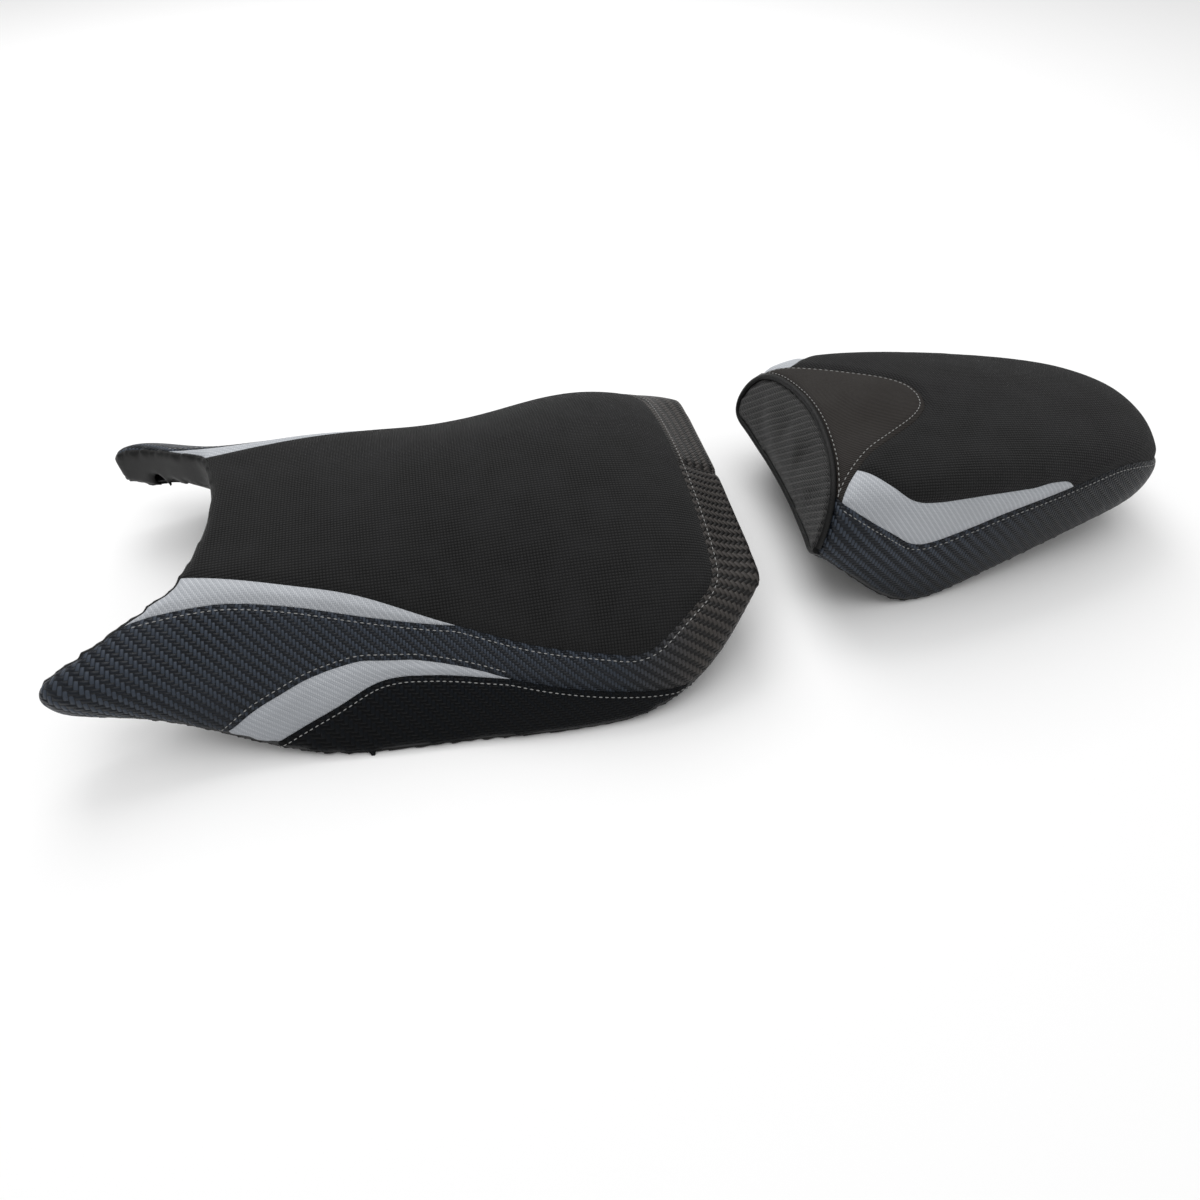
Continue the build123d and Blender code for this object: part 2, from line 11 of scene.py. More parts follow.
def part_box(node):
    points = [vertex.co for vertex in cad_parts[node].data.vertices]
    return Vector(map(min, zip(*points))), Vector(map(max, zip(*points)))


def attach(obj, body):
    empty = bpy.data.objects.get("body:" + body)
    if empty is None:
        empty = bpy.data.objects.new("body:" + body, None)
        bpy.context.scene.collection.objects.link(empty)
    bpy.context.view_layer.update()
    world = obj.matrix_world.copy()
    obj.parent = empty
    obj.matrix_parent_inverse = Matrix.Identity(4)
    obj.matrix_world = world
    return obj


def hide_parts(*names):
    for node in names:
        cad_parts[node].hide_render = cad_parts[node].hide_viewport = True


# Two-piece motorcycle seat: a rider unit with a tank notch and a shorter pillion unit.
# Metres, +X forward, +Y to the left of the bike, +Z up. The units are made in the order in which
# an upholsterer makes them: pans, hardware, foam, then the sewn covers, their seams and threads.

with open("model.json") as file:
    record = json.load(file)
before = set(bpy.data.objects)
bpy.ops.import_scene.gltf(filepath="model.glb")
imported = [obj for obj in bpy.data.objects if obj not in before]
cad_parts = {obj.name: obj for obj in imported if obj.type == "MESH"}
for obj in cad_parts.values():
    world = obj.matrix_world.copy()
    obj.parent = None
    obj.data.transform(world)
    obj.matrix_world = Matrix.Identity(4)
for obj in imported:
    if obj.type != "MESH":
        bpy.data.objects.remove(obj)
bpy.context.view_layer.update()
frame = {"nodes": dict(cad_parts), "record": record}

MM = 0.001
nodes = frame["nodes"]
bodies = frame["record"]["behaviour"]["bodies"]


# ---- Camera ----
# A wide lens a forearm's length above the left side of the rider unit, looking down across both.

def unit_box(body):
    """Lowest and highest corners of everything on a body."""
    corners = [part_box(name) for name in bodies[body]]
    low = Vector([min(corner[0][i] for corner in corners) for i in range(3)])
    high = Vector([max(corner[1][i] for corner in corners) for i in range(3)])
    return low, high


rider_low, rider_high = unit_box("rider_seat")
pillion_low = unit_box("pillion_seat")[0]
camera_ahead = 202 * MM  # of the rider unit's rear edge
camera_aside = 499 * MM
camera_height = 501 * MM
camera_heading = math.radians(11.4)
camera_pitch = math.radians(48.1)
lens = bpy.data.cameras.new("camera")
lens.lens = 24
lens.sensor_width = 36
lens.clip_start = 0.01
camera = bpy.data.objects.new("camera", lens)
bpy.context.scene.collection.objects.link(camera)
level = Vector((-math.sin(camera_heading), -math.cos(camera_heading), 0))
look = level * math.cos(camera_pitch) - Vector((0, 0, math.sin(camera_pitch)))
camera.location = (rider_low.x + camera_ahead, camera_aside, camera_height)
camera.rotation_euler = look.to_track_quat("-Z", "Y").to_euler()
bpy.context.scene.camera = camera


# ---- Floor and light ----
# A white sweep under an even studio sky, with one large lamp overhead and one beyond the seat.

bpy.context.scene.view_settings.view_transform = "Standard"
bpy.ops.mesh.primitive_plane_add(size=12, location=(0, 0, 0))
floor = bpy.context.object
floor.name = "floor"
floor_paper = bpy.data.materials.new("floor_paper")
floor_paper.use_nodes = True
paper = floor_paper.node_tree.nodes["Principled BSDF"]
paper.inputs["Base Color"].default_value = (0.93, 0.93, 0.93, 1)
paper.inputs["Roughness"].default_value = 0.9
floor.data.materials.append(floor_paper)

world = bpy.data.worlds.new("studio")
bpy.context.scene.world = world
world.use_nodes = True
world.node_tree.nodes["Background"].inputs["Color"].default_value = (1, 1, 1, 1)
world.node_tree.nodes["Background"].inputs["Strength"].default_value = 0.5


def lamp(name, place, aim, size, power):
    """Square area lamp at a place, turned towards a point."""
    data = bpy.data.lights.new(name, "AREA")
    data.size = size
    data.energy = power
    light = bpy.data.objects.new(name, data)
    light.location = place
    light.rotation_euler = (Vector(aim) - Vector(place)).to_track_quat("-Z", "Y").to_euler()
    bpy.context.scene.collection.objects.link(light)


lamp("far_lamp", (0.25, -1.5, 1.8), (0, 0, 0.05), 1.3, 20)
lamp("overhead_lamp", (0, -0.3, 3.5), (0, 0, 0), 4, 72)


# ---- Base pans ----
# Black polypropylene trays, injection moulded, with ribs under them and a fine spark-eroded grain.

def new_material(name, colour, roughness):
    """Plain material of a colour and roughness, and its shader."""
    material = bpy.data.materials.new(name)
    material.use_nodes = True
    shader = material.node_tree.nodes["Principled BSDF"]
    shader.inputs["Base Color"].default_value = (*colour, 1)
    shader.inputs["Roughness"].default_value = roughness
    return material, shader


def node(material, kind, **inputs):
    """New shader node with its named inputs set to values or linked to sockets."""
    made = material.node_tree.nodes.new(kind)
    for label, value in inputs.items():
        key = int(label[1:]) if label[1:].isdigit() else label.replace("_", " ")
        socket = made.inputs[key]
        if isinstance(value, bpy.types.NodeSocket):
            material.node_tree.links.new(value, socket)
        else:
            socket.default_value = value
    return made


def calc(material, operation, *values):
    """Math node; gives its output socket."""
    made = node(material, "ShaderNodeMath", **{f"i{n}": value for n, value in enumerate(values)})
    made.operation = operation
    return made.outputs[0]


def place(material):
    """Where a point of the piece is, in metres."""
    return material.node_tree.nodes.new("ShaderNodeTexCoord").outputs["Object"]


def noise(material, where, scale, detail=4.0):
    """Cloudy value from 0 to 1, its features about 1/scale metres wide."""
    made = node(material, "ShaderNodeTexNoise", Vector=where, Scale=scale, Detail=detail)
    return made.outputs["Fac"]


def shift(material, factor, low, high, start=0.0, end=1.0):
    """Value that runs from low to high as factor runs from start to end."""
    made = node(material, "ShaderNodeMapRange", Value=factor)
    for label, value in (("From Min", start), ("From Max", end), ("To Min", low), ("To Max", high)):
        made.inputs[label].default_value = value
    return made.outputs["Result"]


def blend_colours(material, factor, first, second):
    """Colour that runs from first to second as factor runs from 0 to 1."""
    made = material.node_tree.nodes.new("ShaderNodeMix")
    made.data_type = "RGBA"
    sockets = {0: factor, 6: first, 7: second}
    for index, value in sockets.items():
        if isinstance(value, bpy.types.NodeSocket):
            material.node_tree.links.new(value, made.inputs[index])
        elif index:
            made.inputs[index].default_value = (*value, 1)
        else:
            made.inputs[index].default_value = value
    return made.outputs[2]


def raise_by(material, shader, height, distance, strength=1.0):
    """Bump from a height socket, the distance in metres."""
    bump = node(material, "ShaderNodeBump", Height=height, Distance=distance, Strength=strength)
    before = shader.inputs["Normal"].links
    if before:
        material.node_tree.links.new(before[0].from_socket, bump.inputs["Normal"])
    material.node_tree.links.new(bump.outputs["Normal"], shader.inputs["Normal"])


def link(material, socket, target):
    material.node_tree.links.new(socket, target)


pan_plastic, shader = new_material("pan_plastic", (0.018, 0.018, 0.019), 0.5)
where = place(pan_plastic)
grain = noise(pan_plastic, where, 2600)
link(pan_plastic, blend_colours(pan_plastic, noise(pan_plastic, where, 14), (0.014, 0.014, 0.015),
                                (0.026, 0.026, 0.027)), shader.inputs["Base Color"])
link(pan_plastic, shift(pan_plastic, grain, 0.42, 0.62), shader.inputs["Roughness"])
raise_by(pan_plastic, shader, grain, 0.0002)


def finish_node(name, material):
    """Give a carried-over piece its material."""
    mesh = nodes[name].data
    mesh.materials.clear()
    mesh.materials.append(material)


for unit in ("rider", "pillion"):
    finish_node(f"{unit}_base_pan", pan_plastic)


# ---- Steel fixings ----
# Brackets, tongue, hooks and striker are pressed or bent from mild steel and zinc plated, with
# the faint blue-yellow cast of the passivation. The screws and staples are brighter.

def plated_steel(name, dull, bright, roughness):
    material, shader = new_material(name, bright, roughness)
    shader.inputs["Metallic"].default_value = 1.0
    where = place(material)
    cast = noise(material, where, 60, 6.0)
    link(material, blend_colours(material, shift(material, cast, 0, 1, 0.35, 0.65), dull, bright),
         shader.inputs["Base Color"])
    spangle = noise(material, where, 900)
    link(material, shift(material, spangle, roughness - 0.08, roughness + 0.14),
         shader.inputs["Roughness"])
    raise_by(material, shader, spangle, 0.00005)
    return material


zinc_steel = plated_steel("zinc_steel", (0.42, 0.40, 0.33), (0.62, 0.63, 0.62), 0.34)
screw_steel = plated_steel("screw_steel", (0.46, 0.45, 0.42), (0.70, 0.70, 0.70), 0.26)
staple_wire = plated_steel("staple_wire", (0.50, 0.50, 0.50), (0.72, 0.72, 0.73), 0.30)
for name in ("rider_rear_bracket_left", "rider_rear_bracket_right", "rider_front_tongue",
             "pillion_striker_plate", "pillion_striker_rod", "pillion_front_hook_left",
             "pillion_front_hook_right"):
    finish_node(name, zinc_steel)
for name in ("rider_bracket_screws", "rider_tongue_screws", "pillion_striker_screws",
             "pillion_hook_screws"):
    finish_node(name, screw_steel)
for name in ("rider_staples", "pillion_staples"):
    finish_node(name, staple_wire)


# ---- Rubber buffers ----
# Moulded black rubber, matte, with a dusting of talc left from the mould.

rubber, shader = new_material("rubber", (0.02, 0.02, 0.02), 0.8)
where = place(rubber)
dust = noise(rubber, where, 120, 8.0)
link(rubber, blend_colours(rubber, shift(rubber, dust, 0, 1, 0.4, 0.8), (0.016, 0.016, 0.016),
                           (0.05, 0.05, 0.048)), shader.inputs["Base Color"])
link(rubber, shift(rubber, dust, 0.7, 0.9), shader.inputs["Roughness"])
raise_by(rubber, shader, noise(rubber, where, 1500), 0.0001)
for unit in ("rider", "pillion"):
    finish_node(f"{unit}_bumpers", rubber)


# ---- Foam blocks ----
# Moulded polyurethane foam, swollen a little against the cover that is pulled over it. Each is
# grown from the whole cushion's shape, because the cover follows it.

def merged_copy(names, label):
    """One mesh object of copies of CAD nodes."""
    block = bmesh.new()
    for name in names:
        block.from_mesh(nodes[name].data)
    bmesh.ops.remove_doubles(block, verts=block.verts, dist=0.01 * MM)
    mesh = bpy.data.meshes.new(label)
    block.to_mesh(mesh)
    block.free()
    made = bpy.data.objects.new(label, mesh)
    bpy.context.scene.collection.objects.link(made)
    return made


def apply_modifiers(piece):
    """Make the piece's mesh what its modifiers give, and remove them."""
    graph = bpy.context.evaluated_depsgraph_get()
    graph.update()
    mesh = bpy.data.meshes.new_from_object(piece.evaluated_get(graph))
    piece.modifiers.clear()
    old = piece.data
    piece.data = mesh
    bpy.data.meshes.remove(old)


def corners_of(mesh):
    co = np.empty(len(mesh.vertices) * 3)
    mesh.vertices.foreach_get("co", co)
    return co.reshape(-1, 3)


def normals_of(mesh):
    no = np.empty(len(mesh.vertices) * 3)
    mesh.vertices.foreach_get("normal", no)
    return no.reshape(-1, 3)


def move_corners(mesh, co):
    mesh.vertices.foreach_set("co", np.asarray(co, float).ravel())
    mesh.update()


cushion_voxel = 5 * MM
swell_start = 2 * MM  # how far the shape is drawn in before it swells
swell_cap = 5 * MM
draw_reach = 9 * MM
underside = -0.35  # faces that look further down than this belong to the pan side


def swell(piece):
    """Cloth under pressure, held at the underside, its movement capped."""
    mesh = piece.data
    start = corners_of(mesh)
    normal = normals_of(mesh)
    held = (normal[:, 2] < underside) | (start[:, 2] < 12 * MM)
    drawn = start - normal * swell_start * (~held)[:, None]
    move_corners(mesh, drawn)
    group = piece.vertex_groups.new(name="held")
    group.add([int(i) for i in np.flatnonzero(held)], 1.0, "REPLACE")
    cloth = piece.modifiers.new("cloth", "CLOTH")
    cloth.settings.quality = 5
    cloth.settings.mass = 0.3
    cloth.settings.tension_stiffness = 25
    cloth.settings.compression_stiffness = 25
    cloth.settings.bending_stiffness = 2
    cloth.settings.use_pressure = True
    cloth.settings.uniform_pressure_force = 4
    cloth.settings.vertex_group_mass = "held"
    cloth.settings.effector_weights.gravity = 0
    cloth.collision_settings.use_collision = False
    cloth.point_cache.frame_end = 20
    for step in range(1, 21):
        bpy.context.scene.frame_set(step)
    apply_modifiers(piece)
    bpy.context.scene.frame_set(1)
    mesh = piece.data
    moved = corners_of(mesh) - drawn
    length = np.linalg.norm(moved, axis=1, keepdims=True)
    move_corners(mesh, drawn + moved * np.minimum(1, swell_cap / np.maximum(length, 1e-9)))


def draw_over(piece, names):
    """Move the cushion out to wherever the fixed model stands proud of it."""
    solid = bmesh.new()
    for name in names:
        solid.from_mesh(nodes[name].data)
    tree = BVHTree.FromBMesh(solid)
    mesh = piece.data
    co = corners_of(mesh)
    normal = normals_of(mesh)
    short = np.zeros(len(co))
    for n, (point, way) in enumerate(zip(co, normal)):
        start = Vector(point)
        way = Vector(way)
        at = start
        for _ in range(6):
            hit = tree.ray_cast(at, way, draw_reach - (at - start).length)
            if hit[0] is None:
                break
            short[n] = (hit[0] - start).length
            at = hit[0] + way * (0.05 * MM)
    solid.free()
    ends = np.empty(len(mesh.edges) * 2, int)
    mesh.edges.foreach_get("vertices", ends)
    ends = ends.reshape(-1, 2)
    count = np.bincount(ends.ravel(), minlength=len(co))


    def eased(values):
        total = np.bincount(ends[:, 0], values[ends[:, 1]], len(co)) \
            + np.bincount(ends[:, 1], values[ends[:, 0]], len(co))
        return 0.5 * values + 0.5 * total / count

    for _ in range(8):
        short = eased(short)
    co += normal * short[:, None]
    for _ in range(8):
        co = np.column_stack([eased(co[:, n]) for n in range(3)])
    move_corners(mesh, co)


def cushion(unit, body):
    """Closed, evenly meshed body of a whole cushion, swollen by the simulation."""
    soft = [name for name in bodies[body] if name.endswith(
        ("foam", "panel", "left", "right", "wall", "hem", "pan")) and "bracket" not in name
        and "hook" not in name]
    piece = merged_copy(soft, f"{unit}_cushion")
    remesh = piece.modifiers.new("remesh", "REMESH")
    remesh.mode = "VOXEL"
    remesh.voxel_size = cushion_voxel
    smooth = piece.modifiers.new("smooth", "SMOOTH")
    smooth.factor = 0.5
    smooth.iterations = 4
    apply_modifiers(piece)
    swell(piece)
    finer = piece.modifiers.new("finer", "SUBSURF")
    finer.levels = finer.render_levels = 1
    apply_modifiers(piece)
    draw_over(piece, soft)
    return piece


rider_cushion = cushion("rider", "rider_seat")
pillion_cushion = cushion("pillion", "pillion_seat")


# ---- Cover patterns ----
# The seams between the cover's cut pieces, in percent of each unit's length, half width and
# height: plan lines are seen from above, side lines from the left. The right side mirrors them.

rider_size = (rider_high.x - rider_low.x, rider_high.y, rider_high.z)
pillion_size = (342 * MM, 114 * MM, 130 * MM)


def rider_plan(*points):
    return [Vector((rider_low.x + rider_size[0] * s / 100, rider_size[1] * y / 100))
            for s, y in points]


def rider_side(*points):
    return [Vector((rider_low.x + rider_size[0] * s / 100, rider_size[2] * z / 100))
            for s, z in points]


def pillion_plan(*points):
    return [Vector((pillion_low.x + pillion_size[0] * s / 100, pillion_size[1] * y / 100))
            for s, y in points]


def pillion_side(*points):
    return [Vector((pillion_low.x + pillion_size[0] * s / 100, pillion_size[2] * z / 100))
            for s, z in points]


def smooth_line(points, step=2 * MM):
    """Evenly spaced points on a smooth curve through the given ones."""
    ends = [2 * points[0] - points[1]] + list(points) + [2 * points[-1] - points[-2]]
    dense = []
    for a, b, c, d in zip(ends, ends[1:], ends[2:], ends[3:]):
        for n in range(24):
            t = n / 24
            dense.append(b + (c - a) * (t / 2) + (2 * a - 5 * b + 4 * c - d) * (t * t / 2)
                         + (3 * b - a - 3 * c + d) * (t ** 3 / 2))
    dense.append(points[-1])
    walked = [0.0]
    for a, b in zip(dense, dense[1:]):
        walked.append(walked[-1] + (b - a).length)
    count = max(2, int(walked[-1] / step))
    even = []
    at = 0
    for n in range(count + 1):
        goal = walked[-1] * n / count
        while at < len(dense) - 2 and walked[at + 1] < goal:
            at += 1
        share = (goal - walked[at]) / max(walked[at + 1] - walked[at], 1e-12)
        even.append(dense[at].lerp(dense[at + 1], share))
    return even


rider_top_line = smooth_line(rider_plan(
    (86.3, 35), (78.4, 38.6), (67.1, 46.7), (57.8, 53.3), (45.5, 65.8), (33.7, 78.8), (24.2, 86),
    (20, 87), (16.6, 83.7), (11.1, 73.4), (8.5, 66.3), (7.5, 56.5), (7.1, 27), (7.1, 0)))
rider_silver_line = smooth_line(rider_plan(
    (99, 62), (91.1, 54.5), (85.7, 51), (80, 49.5), (74.9, 50), (67.3, 53.8), (60, 58.2),
    (52.7, 62), (45.5, 65.8)))
rider_low_line = smooth_line(rider_side(
    (81.5, 10), (79.4, 18.6), (75, 31.9), (70.1, 39.8), (65.9, 45.1), (60, 48.7), (56.2, 47.6),
    (49.5, 44.2), (43.2, 39.8), (39, 36), (28.5, 28.3), (18.2, 21), (12, 17)))
rider_dark_line = smooth_line(rider_side(
    (75, 3), (72.9, 11.5), (68.7, 20.4), (63, 29.2), (57, 38), (51.9, 38.5), (43.4, 36.8),
    (39, 36)))
rider_rim_line = smooth_line(rider_side(
    (-2, 54), (0, 51), (5.9, 34), (12.9, 14), (20.8, 2), (31.7, 0), (43.6, 0), (57.4, 0),
    (67.3, 2), (79.2, 18), (89.1, 32), (100, 38), (102, 39)))
notch_line = smooth_line(rider_plan(
    (101.5, 67.5), (95.5, 61), (91, 54), (86, 45), (83, 39), (81.5, 31.5), (80, 16), (79.2, 0)))
pillion_side_line = smooth_line(pillion_side(
    (-2, 50), (0, 51), (5.3, 56.5), (12.6, 63), (21.3, 66.5), (34.2, 64.5), (51.2, 60),
    (61.4, 54.5), (71.3, 49.5), (76.6, 51.5), (81.9, 61), (90.6, 76), (95, 81), (98, 82)))
pillion_tongue_line = smooth_line(pillion_plan(
    (96, 88), (92.5, 73), (87.7, 60), (83.6, 51), (76.9, 40), (69.6, 27), (65.5, 14), (64.3, 0)))
pillion_top_line = smooth_line(pillion_plan(
    (94, 56), (87.7, 66), (82.5, 80), (78.1, 87.5), (71, 88.5), (60.2, 86), (48.2, 82.5),
    (34.2, 77.5), (28, 90), (-6, 100)))
pillion_rim_line = smooth_line(pillion_side(
    (-2, 38), (0, 37), (4, 31), (13.5, 26), (34, 17), (54.4, 6), (72.5, 0), (89.5, 28),
    (100, 45), (102, 48)))


# ---- Cover cutting ----
# Each cover is one skin over its cushion until it is cut along the seam lines. The cutters are
# thin ribbons that stand on the lines.

sky_offset = 6 * MM
steepest = -0.93
rim_lift = 1.2 * MM
tunnel_half_width, tunnel_height, tunnel_length = 106 * MM, 62 * MM, 182 * MM
wall_inset = 3 * MM
front_bow = 14 * MM
front_lean = 0.19


def hidden_faces(block):
    """Faces that neither the open sky nor the room beside the seat can reach."""
    tree = BVHTree.FromBMesh(block)
    up = Vector((0, 0, 1))
    hidden = []
    for face in block.faces:
        normal = face.normal
        middle = face.calc_center_median()
        if normal.z > underside and tree.ray_cast(middle + normal * sky_offset, up)[0] is None:
            continue
        beside = Vector((normal.x, normal.y, 0))
        if normal.z > steepest and tree.ray_cast(
                middle + normal * (1 * MM), beside.normalized())[0] is None:
            continue
        hidden.append(face)
    return hidden


def scraps(block, least=0.05):
    """Faces of the connected patches that hold less than a share of all faces."""
    left = set(block.faces)
    fewest = least * len(left)
    loose = []
    while left:
        patch = [left.pop()]
        for face in patch:
            near = {other for edge in face.edges for other in edge.link_faces} & left
            left -= near
            patch.extend(near)
        if len(patch) < fewest:
            loose.extend(patch)
    return loose


def ribbon(cutters, line, low, high):
    """Strip of faces between two copies of a line; low and high place a point of the line."""
    pairs = [(cutters.verts.new(low(point)), cutters.verts.new(high(point))) for point in line]
    for (a, b), (c, d) in zip(pairs, pairs[1:]):
        cutters.faces.new((a, b, d, c))


def plan_ribbon(cutters, line):
    for side in (1, -1):
        ribbon(cutters, line, lambda p: (p.x, side * p.y, -0.05), lambda p: (p.x, side * p.y, 0.3))


def side_ribbon(cutters, line, inner=0.03):
    for side in (1, -1):
        ribbon(cutters, line, lambda p: (p.x, side * inner, p.y), lambda p: (p.x, side * 0.3, p.y))


def wall_x(y, z):
    """Where the pillion's bowed, leaning front wall stands."""
    corner = pillion_low.x + pillion_size[0]
    bowed = front_bow * 2 * (y / 0.15) ** 2 - front_bow
    return corner + bowed - front_lean * (z - pillion_size[2] * 0.45)


def cut_skin(cushion_piece, draw_cutters):
    """Skin of a cushion with new edges wherever a cutter crosses it."""
    skin = bmesh.new()
    skin.from_mesh(cushion_piece.data)
    for face in skin.faces:
        face.select = True
        face.material_index = 0
    cutters = bmesh.new()
    draw_cutters(cutters)
    for face in cutters.faces:
        face.material_index = 1
        face.select = False
    loose = bpy.data.meshes.new("cutters")
    cutters.to_mesh(loose)
    cutters.free()
    skin.from_mesh(loose)
    mesh = bpy.data.meshes.new("skin")
    skin.to_mesh(mesh)
    skin.free()
    piece = bpy.data.objects.new("skin", mesh)
    bpy.context.scene.collection.objects.link(piece)
    bpy.context.view_layer.objects.active = piece
    bpy.ops.object.mode_set(mode="EDIT")
    bpy.ops.mesh.intersect(mode="SELECT_UNSELECT", separate_mode="NONE", solver="EXACT")
    bpy.ops.object.mode_set(mode="OBJECT")
    block = bmesh.new()
    block.from_mesh(piece.data)
    strips = [face for face in block.faces if face.material_index == 1]
    bmesh.ops.delete(block, geom=strips, context="FACES")
    block.normal_update()
    bmesh.ops.delete(block, geom=hidden_faces(block), context="FACES")
    bmesh.ops.delete(block, geom=scraps(block), context="FACES")
    bmesh.ops.remove_doubles(block, verts=block.verts, dist=0.1 * MM)
    bpy.data.objects.remove(piece)
    return block


def inside(x, y, outline):
    """Whether a point is within a closed outline."""
    odd = False
    for a, b in zip(outline, outline[1:] + outline[:1]):
        if (a.y > y) != (b.y > y) and x < a.x + (y - a.y) * (b.x - a.x) / (b.y - a.y):
            odd = not odd
    return odd


def height_at(line, x):
    """Height of a side line above a place along the seat."""
    if line[0].x > line[-1].x:
        line = line[::-1]
    return float(np.interp(x, [p.x for p in line], [p.y for p in line]))


wall_top_line = [Vector((p.x - wall_inset, p.y + wall_inset * min(1, p.y / 0.1)))
                 for p in notch_line]
tunnel_line = smooth_line([Vector((tunnel_half_width * y, tunnel_height * z)) for y, z in (
    (1.13, -0.33), (1, 0.66), (0.8, 0.95), (0, 1), (-0.8, 0.95), (-1, 0.66), (-1.13, -0.33))])


def rider_cutters(cutters):
    back_of_tunnel = rider_high.x - tunnel_length
    ribbon(cutters, tunnel_line, lambda p: (back_of_tunnel, p.x, p.y), lambda p: (0.6, p.x, p.y))
    plan_ribbon(cutters, rider_top_line)
    plan_ribbon(cutters, rider_silver_line)
    side_ribbon(cutters, rider_low_line, 0.06)
    side_ribbon(cutters, rider_dark_line, 0.06)
    plan_ribbon(cutters, wall_top_line)
    ribbon(cutters, rider_rim_line, lambda p: (p.x, -0.3, p.y + rim_lift),
           lambda p: (p.x, 0.3, p.y + rim_lift))
    back = [Vector((rider_low.x - 0.02, 0)), Vector((rider_low.x + 0.1, 0))]
    ribbon(cutters, back, lambda p: (p.x, 0, -0.05), lambda p: (p.x, 0, 0.3))


def rider_zone(x, y, z):
    """Name of the rider cover's cut piece at a place."""
    side = "left" if y > 0 else "right"
    y = abs(y)
    if z < height_at(rider_rim_line, x) + rim_lift:
        return None
    if x > rider_high.x - tunnel_length and z < height_at(tunnel_line, y) and y < tunnel_line[0].x:
        return None
    ahead = [Vector((1, 0)), Vector((1, wall_top_line[0].y))]
    if inside(x, y, wall_top_line + ahead):
        return "front_wall"
    if inside(x, y, rider_top_line + [Vector((rider_top_line[0].x, 0))]):
        return "top_panel"
    low, high = rider_low_line[-1].x, rider_low_line[0].x
    if low < x < high and z < height_at(rider_low_line, x) and y > 0.06:
        dark = rider_dark_line[-1].x
        if x < dark or (x < rider_dark_line[0].x and z < height_at(rider_dark_line, x)):
            return f"lower_panel_{side}"
        return f"silver_lower_{side}"
    edge = rider_silver_line + [Vector((rider_silver_line[-1].x, 0)),
                                Vector((rider_silver_line[0].x, 0))]
    if inside(x, y, edge):
        return f"silver_upper_{side}"
    return f"carbon_band_{side}"


def pillion_cutters(cutters):
    plan_ribbon(cutters, pillion_tongue_line)
    plan_ribbon(cutters, pillion_top_line)
    for line, lift in ((pillion_side_line, 0), (pillion_rim_line, rim_lift)):
        ribbon(cutters, line, lambda p: (p.x, -0.3, p.y + lift), lambda p: (p.x, 0.3, p.y + lift))
    rows = [Vector((n / 40 * 0.3 - 0.15, 0)) for n in range(41)]
    ribbon(cutters, rows, lambda p: (wall_x(p.x, 0) - wall_inset, p.x, 0),
           lambda p: (wall_x(p.x, 0.2) - wall_inset, p.x, 0.2))


def pillion_zone(x, y, z):
    """Name of the pillion cover's cut piece at a place."""
    if z < height_at(pillion_rim_line, x) + rim_lift:
        return None
    if x > wall_x(y, z) - wall_inset:
        return "front_wall"
    side = "left" if y > 0 else "right"
    if z < height_at(pillion_side_line, x):
        return f"side_panel_{side}"
    y = abs(y)
    edge = pillion_tongue_line + [Vector((pillion_tongue_line[0].x, 0))]
    if inside(x, y, edge):
        return "tongue_panel"
    edge = pillion_top_line + [Vector((pillion_top_line[-1].x, 0)),
                               Vector((pillion_top_line[0].x, 0))]
    return "top_panel" if inside(x, y, edge) else f"silver_{side}"


def turn_pattern(piece):
    """Flat pattern of the piece in metres, its grain running forwards."""
    mesh = piece.data
    bpy.ops.object.select_all(action="DESELECT")
    piece.select_set(True)
    bpy.context.view_layer.objects.active = piece
    mesh.uv_layers.new(name="pattern")
    bpy.ops.object.mode_set(mode="EDIT")
    bpy.ops.mesh.select_all(action="SELECT")
    bpy.ops.uv.unwrap(method="CONFORMAL", margin=0.0)
    bpy.ops.object.mode_set(mode="OBJECT")
    flat = np.empty(len(mesh.loops) * 2)
    mesh.uv_layers["pattern"].data.foreach_get("uv", flat)
    flat = flat.reshape(-1, 2)
    owner = np.empty(len(mesh.loops), int)
    mesh.loops.foreach_get("vertex_index", owner)
    solid = corners_of(mesh)[owner]
    along = np.roll(np.arange(len(flat)), -1)
    step_flat = np.linalg.norm(flat[along] - flat, axis=1)
    step_solid = np.linalg.norm(solid[along] - solid, axis=1)
    near = step_solid < 6 * MM
    scale = np.sum(step_solid[near]) / max(np.sum(step_flat[near]), 1e-9)
    flat = (flat - flat.mean(0)) * scale
    ahead = solid[:, 0] - solid[:, 0].mean()
    pull = np.array([np.sum(flat[:, 0] * ahead), np.sum(flat[:, 1] * ahead)])
    pull /= max(np.linalg.norm(pull), 1e-12)
    turned = np.column_stack((flat @ pull, flat[:, 1] * pull[0] - flat[:, 0] * pull[1]))
    mesh.uv_layers["pattern"].data.foreach_set("uv", turned.ravel())


seam_depth = 1.7 * MM
seam_width = 8 * MM
seam_turn = 2.2 * MM
seam_mesh = 1.7 * MM  # edges near a seam that are longer than this are halved
crumb = 0.25 * MM


